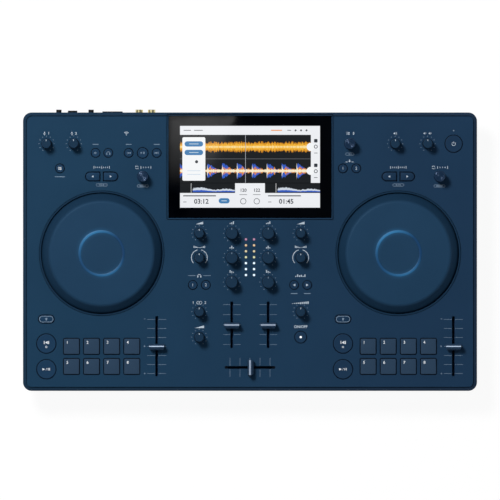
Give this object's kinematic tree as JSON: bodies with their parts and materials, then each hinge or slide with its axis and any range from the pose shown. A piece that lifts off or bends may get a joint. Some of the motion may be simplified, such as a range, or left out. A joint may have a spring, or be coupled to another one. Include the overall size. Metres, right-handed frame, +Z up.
{
  "type": "portable dj system",
  "caption": "Flat portable DJ console with jog wheels either side of a knob-and-fader mixer, rubber pads, round keys, a glass touch screen and audio sockets on the rear.",
  "frame": {"origin": "on the table under the middle of the case", "axes": "+X to the user's right, +Y to the rear where the sockets are, +Z up"},
  "size_m": [0.499, 0.3095, 0.0653],
  "materials": {
    "case_plastic": "fine textured navy moulding",
    "panel_finish": "satin navy lacquer with pale print",
    "socket_plate": "dark satin plate",
    "screen_glass": "black-backed polished cover glass",
    "circuit_board": "solder-masked board",
    "control_metal": "stamped plated steel",
    "cell_wrap": "shrink-wrapped cells in a black cradle",
    "foot_rubber": "matt black rubber",
    "screw_steel": "blackened steel",
    "socket_black": "black moulded plastic",
    "line_gold": "bright plated shell",
    "indicator_lens": "clear light guide",
    "dish_plastic": "dark moulding",
    "jog_plastic": "satin navy with a fine turned top",
    "ring_light": "translucent blue ring",
    "fader_plastic": "soft navy with a white line",
    "knob_rubber": "soft-touch dark navy with a white pointer",
    "selector_plastic": "turned metallic navy",
    "pad_rubber": "translucent grey-blue silicone",
    "key_plastic": "satin navy key caps"
  },
  "bodies": {
    "case": {"bottom_case": "case_plastic", "top_case": "case_plastic", "top_panel": "panel_finish", "rear_panel": "socket_plate", "touch_screen": "screen_glass", "main_board": "circuit_board", "board_controls": "control_metal", "battery_pack": "cell_wrap", "rubber_feet": "foot_rubber", "case_screws": "screw_steel", "audio_jacks": "socket_black", "line_jacks": "line_gold", "usb_ports": "control_metal", "indicator_lights": "indicator_lens", "jog_bases": "dish_plastic"},
    "jog_wheel_left": {"jog_wheel_left": "jog_plastic", "light_ring_left": "ring_light"},
    "jog_wheel_right": {"jog_wheel_right": "jog_plastic", "light_ring_right": "ring_light"},
    "tempo_fader_left": {"tempo_fader_left": "fader_plastic"},
    "tempo_fader_right": {"tempo_fader_right": "fader_plastic"},
    "channel_fader_1": {"channel_fader_1": "fader_plastic"},
    "channel_fader_2": {"channel_fader_2": "fader_plastic"},
    "crossfader": {"crossfader": "fader_plastic"},
    "mic_1_knob": {"mic_1_knob": "knob_rubber"},
    "mic_2_knob": {"mic_2_knob": "knob_rubber"},
    "booth_knob": {"booth_knob": "knob_rubber"},
    "master_knob": {"master_knob": "knob_rubber"},
    "trim_knob_1": {"trim_knob_1": "knob_rubber"},
    "trim_knob_2": {"trim_knob_2": "knob_rubber"},
    "filter_knob_1": {"filter_knob_1": "knob_rubber"},
    "filter_knob_2": {"filter_knob_2": "knob_rubber"},
    "high_knob_1": {"high_knob_1": "knob_rubber"},
    "high_knob_2": {"high_knob_2": "knob_rubber"},
    "middle_knob_1": {"middle_knob_1": "knob_rubber"},
    "middle_knob_2": {"middle_knob_2": "knob_rubber"},
    "low_knob_1": {"low_knob_1": "knob_rubber"},
    "low_knob_2": {"low_knob_2": "knob_rubber"},
    "headphone_mix_knob": {"headphone_mix_knob": "knob_rubber"},
    "headphone_level_knob": {"headphone_level_knob": "knob_rubber"},
    "effect_depth_knob": {"effect_depth_knob": "knob_rubber"},
    "browse_selector": {"browse_selector": "selector_plastic"},
    "loop_selector_left": {"loop_selector_left": "selector_plastic"},
    "loop_selector_right": {"loop_selector_right": "selector_plastic"},
    "rear_trim_knob_1": {"rear_trim_knob_1": "socket_black"},
    "rear_trim_knob_2": {"rear_trim_knob_2": "socket_black"},
    "pads_left": {"pads_left": "pad_rubber"},
    "pads_right": {"pads_right": "pad_rubber"},
    "cue_key_left": {"cue_key_left": "key_plastic"},
    "cue_key_right": {"cue_key_right": "key_plastic"},
    "play_key_left": {"play_key_left": "key_plastic"},
    "play_key_right": {"play_key_right": "key_plastic"},
    "shift_key_left": {"shift_key_left": "key_plastic"},
    "shift_key_right": {"shift_key_right": "key_plastic"},
    "jump_keys_left": {"jump_keys_left": "key_plastic"},
    "jump_keys_right": {"jump_keys_right": "key_plastic"},
    "power_key": {"power_key": "key_plastic"},
    "effect_key": {"effect_key": "key_plastic"},
    "left_function_keys": {"left_function_keys": "key_plastic"},
    "mixer_keys": {"mixer_keys": "key_plastic"}
  },
  "joints": [
    {"name": "jog_left_spin", "type": "hinge", "parent": "case", "child": "jog_wheel_left", "pos_m": [-0.163, -0.0018, 0.05], "axis": [0, 0, 1], "continuous": true},
    {"name": "jog_right_spin", "type": "hinge", "parent": "case", "child": "jog_wheel_right", "pos_m": [0.163, -0.0018, 0.05], "axis": [0, 0, 1], "continuous": true},
    {"name": "mic_1_knob_turn", "type": "hinge", "parent": "case", "child": "mic_1_knob", "pos_m": [-0.2236, 0.1186, 0.05], "axis": [0, 0, 1], "range_deg": [-150, 150]},
    {"name": "mic_2_knob_turn", "type": "hinge", "parent": "case", "child": "mic_2_knob", "pos_m": [-0.1936, 0.1186, 0.05], "axis": [0, 0, 1], "range_deg": [-150, 150]},
    {"name": "booth_knob_turn", "type": "hinge", "parent": "case", "child": "booth_knob", "pos_m": [0.1595, 0.1186, 0.05], "axis": [0, 0, 1], "range_deg": [-150, 150]},
    {"name": "master_knob_turn", "type": "hinge", "parent": "case", "child": "master_knob", "pos_m": [0.1951, 0.1186, 0.05], "axis": [0, 0, 1], "range_deg": [-150, 150]},
    {"name": "trim_knob_1_turn", "type": "hinge", "parent": "case", "child": "trim_knob_1", "pos_m": [-0.0557, 0.0202, 0.05], "axis": [0, 0, 1], "range_deg": [-150, 150]},
    {"name": "trim_knob_2_turn", "type": "hinge", "parent": "case", "child": "trim_knob_2", "pos_m": [0.0557, 0.0202, 0.05], "axis": [0, 0, 1], "range_deg": [-150, 150]},
    {"name": "filter_knob_1_turn", "type": "hinge", "parent": "case", "child": "filter_knob_1", "pos_m": [-0.0557, -0.0066, 0.05], "axis": [0, 0, 1], "range_deg": [-150, 150]},
    {"name": "filter_knob_2_turn", "type": "hinge", "parent": "case", "child": "filter_knob_2", "pos_m": [0.0557, -0.0066, 0.05], "axis": [0, 0, 1], "range_deg": [-150, 150]},
    {"name": "high_knob_1_turn", "type": "hinge", "parent": "case", "child": "high_knob_1", "pos_m": [-0.02, 0.0202, 0.05], "axis": [0, 0, 1], "range_deg": [-150, 150]},
    {"name": "high_knob_2_turn", "type": "hinge", "parent": "case", "child": "high_knob_2", "pos_m": [0.02, 0.0202, 0.05], "axis": [0, 0, 1], "range_deg": [-150, 150]},
    {"name": "middle_knob_1_turn", "type": "hinge", "parent": "case", "child": "middle_knob_1", "pos_m": [-0.02, -0.0066, 0.05], "axis": [0, 0, 1], "range_deg": [-150, 150]},
    {"name": "middle_knob_2_turn", "type": "hinge", "parent": "case", "child": "middle_knob_2", "pos_m": [0.02, -0.0066, 0.05], "axis": [0, 0, 1], "range_deg": [-150, 150]},
    {"name": "low_knob_1_turn", "type": "hinge", "parent": "case", "child": "low_knob_1", "pos_m": [-0.02, -0.0334, 0.05], "axis": [0, 0, 1], "range_deg": [-150, 150]},
    {"name": "low_knob_2_turn", "type": "hinge", "parent": "case", "child": "low_knob_2", "pos_m": [0.02, -0.0334, 0.05], "axis": [0, 0, 1], "range_deg": [-150, 150]},
    {"name": "headphone_mix_knob_turn", "type": "hinge", "parent": "case", "child": "headphone_mix_knob", "pos_m": [-0.0557, -0.0659, 0.05], "axis": [0, 0, 1], "range_deg": [-150, 150]},
    {"name": "headphone_level_knob_turn", "type": "hinge", "parent": "case", "child": "headphone_level_knob", "pos_m": [-0.0557, -0.0939, 0.05], "axis": [0, 0, 1], "range_deg": [-150, 150]},
    {"name": "effect_depth_knob_turn", "type": "hinge", "parent": "case", "child": "effect_depth_knob", "pos_m": [0.0557, -0.0659, 0.05], "axis": [0, 0, 1], "range_deg": [-150, 150]},
    {"name": "browse_selector_turn", "type": "hinge", "parent": "case", "child": "browse_selector", "pos_m": [0.1097, 0.1186, 0.05], "axis": [0, 0, 1], "continuous": true},
    {"name": "loop_selector_left_turn", "type": "hinge", "parent": "case", "child": "loop_selector_left", "pos_m": [-0.1178, 0.0826, 0.05], "axis": [0, 0, 1], "continuous": true},
    {"name": "loop_selector_right_turn", "type": "hinge", "parent": "case", "child": "loop_selector_right", "pos_m": [0.2082, 0.0826, 0.05], "axis": [0, 0, 1], "continuous": true},
    {"name": "rear_trim_knob_1_turn", "type": "hinge", "parent": "case", "child": "rear_trim_knob_1", "pos_m": [-0.2107, 0.144, 0.02385], "axis": [0, 1, 0], "range_deg": [-150, 150]},
    {"name": "rear_trim_knob_2_turn", "type": "hinge", "parent": "case", "child": "rear_trim_knob_2", "pos_m": [-0.1752, 0.144, 0.02385], "axis": [0, 1, 0], "range_deg": [-150, 150]},
    {"name": "tempo_fader_left_slide", "type": "slide", "parent": "case", "child": "tempo_fader_left", "axis": [0, 1, 0], "range_m": [-0.03, 0.03]},
    {"name": "tempo_fader_right_slide", "type": "slide", "parent": "case", "child": "tempo_fader_right", "axis": [0, 1, 0], "range_m": [-0.03, 0.03]},
    {"name": "channel_fader_1_slide", "type": "slide", "parent": "case", "child": "channel_fader_1", "axis": [0, 1, 0], "range_m": [-0.0225, 0.0225]},
    {"name": "channel_fader_2_slide", "type": "slide", "parent": "case", "child": "channel_fader_2", "axis": [0, 1, 0], "range_m": [-0.0225, 0.0225]},
    {"name": "crossfader_slide", "type": "slide", "parent": "case", "child": "crossfader", "axis": [1, 0, 0], "range_m": [-0.0225, 0.0225]},
    {"name": "pads_left_press", "type": "slide", "parent": "case", "child": "pads_left", "axis": [0, 0, -1], "range_m": [0, 0.0008], "stiffness_N_per_m": 400, "springref_m": -0.001},
    {"name": "pads_right_press", "type": "slide", "parent": "case", "child": "pads_right", "axis": [0, 0, -1], "range_m": [0, 0.0008], "stiffness_N_per_m": 400, "springref_m": -0.001},
    {"name": "cue_key_left_press", "type": "slide", "parent": "case", "child": "cue_key_left", "axis": [0, 0, -1], "range_m": [0, 0.0008], "stiffness_N_per_m": 400, "springref_m": -0.001},
    {"name": "cue_key_right_press", "type": "slide", "parent": "case", "child": "cue_key_right", "axis": [0, 0, -1], "range_m": [0, 0.0008], "stiffness_N_per_m": 400, "springref_m": -0.001},
    {"name": "play_key_left_press", "type": "slide", "parent": "case", "child": "play_key_left", "axis": [0, 0, -1], "range_m": [0, 0.0008], "stiffness_N_per_m": 400, "springref_m": -0.001},
    {"name": "play_key_right_press", "type": "slide", "parent": "case", "child": "play_key_right", "axis": [0, 0, -1], "range_m": [0, 0.0008], "stiffness_N_per_m": 400, "springref_m": -0.001},
    {"name": "shift_key_left_press", "type": "slide", "parent": "case", "child": "shift_key_left", "axis": [0, 0, -1], "range_m": [0, 0.0008], "stiffness_N_per_m": 400, "springref_m": -0.001},
    {"name": "shift_key_right_press", "type": "slide", "parent": "case", "child": "shift_key_right", "axis": [0, 0, -1], "range_m": [0, 0.0008], "stiffness_N_per_m": 400, "springref_m": -0.001},
    {"name": "jump_keys_left_press", "type": "slide", "parent": "case", "child": "jump_keys_left", "axis": [0, 0, -1], "range_m": [0, 0.0008], "stiffness_N_per_m": 400, "springref_m": -0.001},
    {"name": "jump_keys_right_press", "type": "slide", "parent": "case", "child": "jump_keys_right", "axis": [0, 0, -1], "range_m": [0, 0.0008], "stiffness_N_per_m": 400, "springref_m": -0.001},
    {"name": "power_key_press", "type": "slide", "parent": "case", "child": "power_key", "axis": [0, 0, -1], "range_m": [0, 0.0008], "stiffness_N_per_m": 400, "springref_m": -0.001},
    {"name": "effect_key_press", "type": "slide", "parent": "case", "child": "effect_key", "axis": [0, 0, -1], "range_m": [0, 0.0008], "stiffness_N_per_m": 400, "springref_m": -0.001},
    {"name": "left_function_keys_press", "type": "slide", "parent": "case", "child": "left_function_keys", "axis": [0, 0, -1], "range_m": [0, 0.0008], "stiffness_N_per_m": 400, "springref_m": -0.001},
    {"name": "mixer_keys_press", "type": "slide", "parent": "case", "child": "mixer_keys", "axis": [0, 0, -1], "range_m": [0, 0.0008], "stiffness_N_per_m": 400, "springref_m": -0.001}
  ]
}
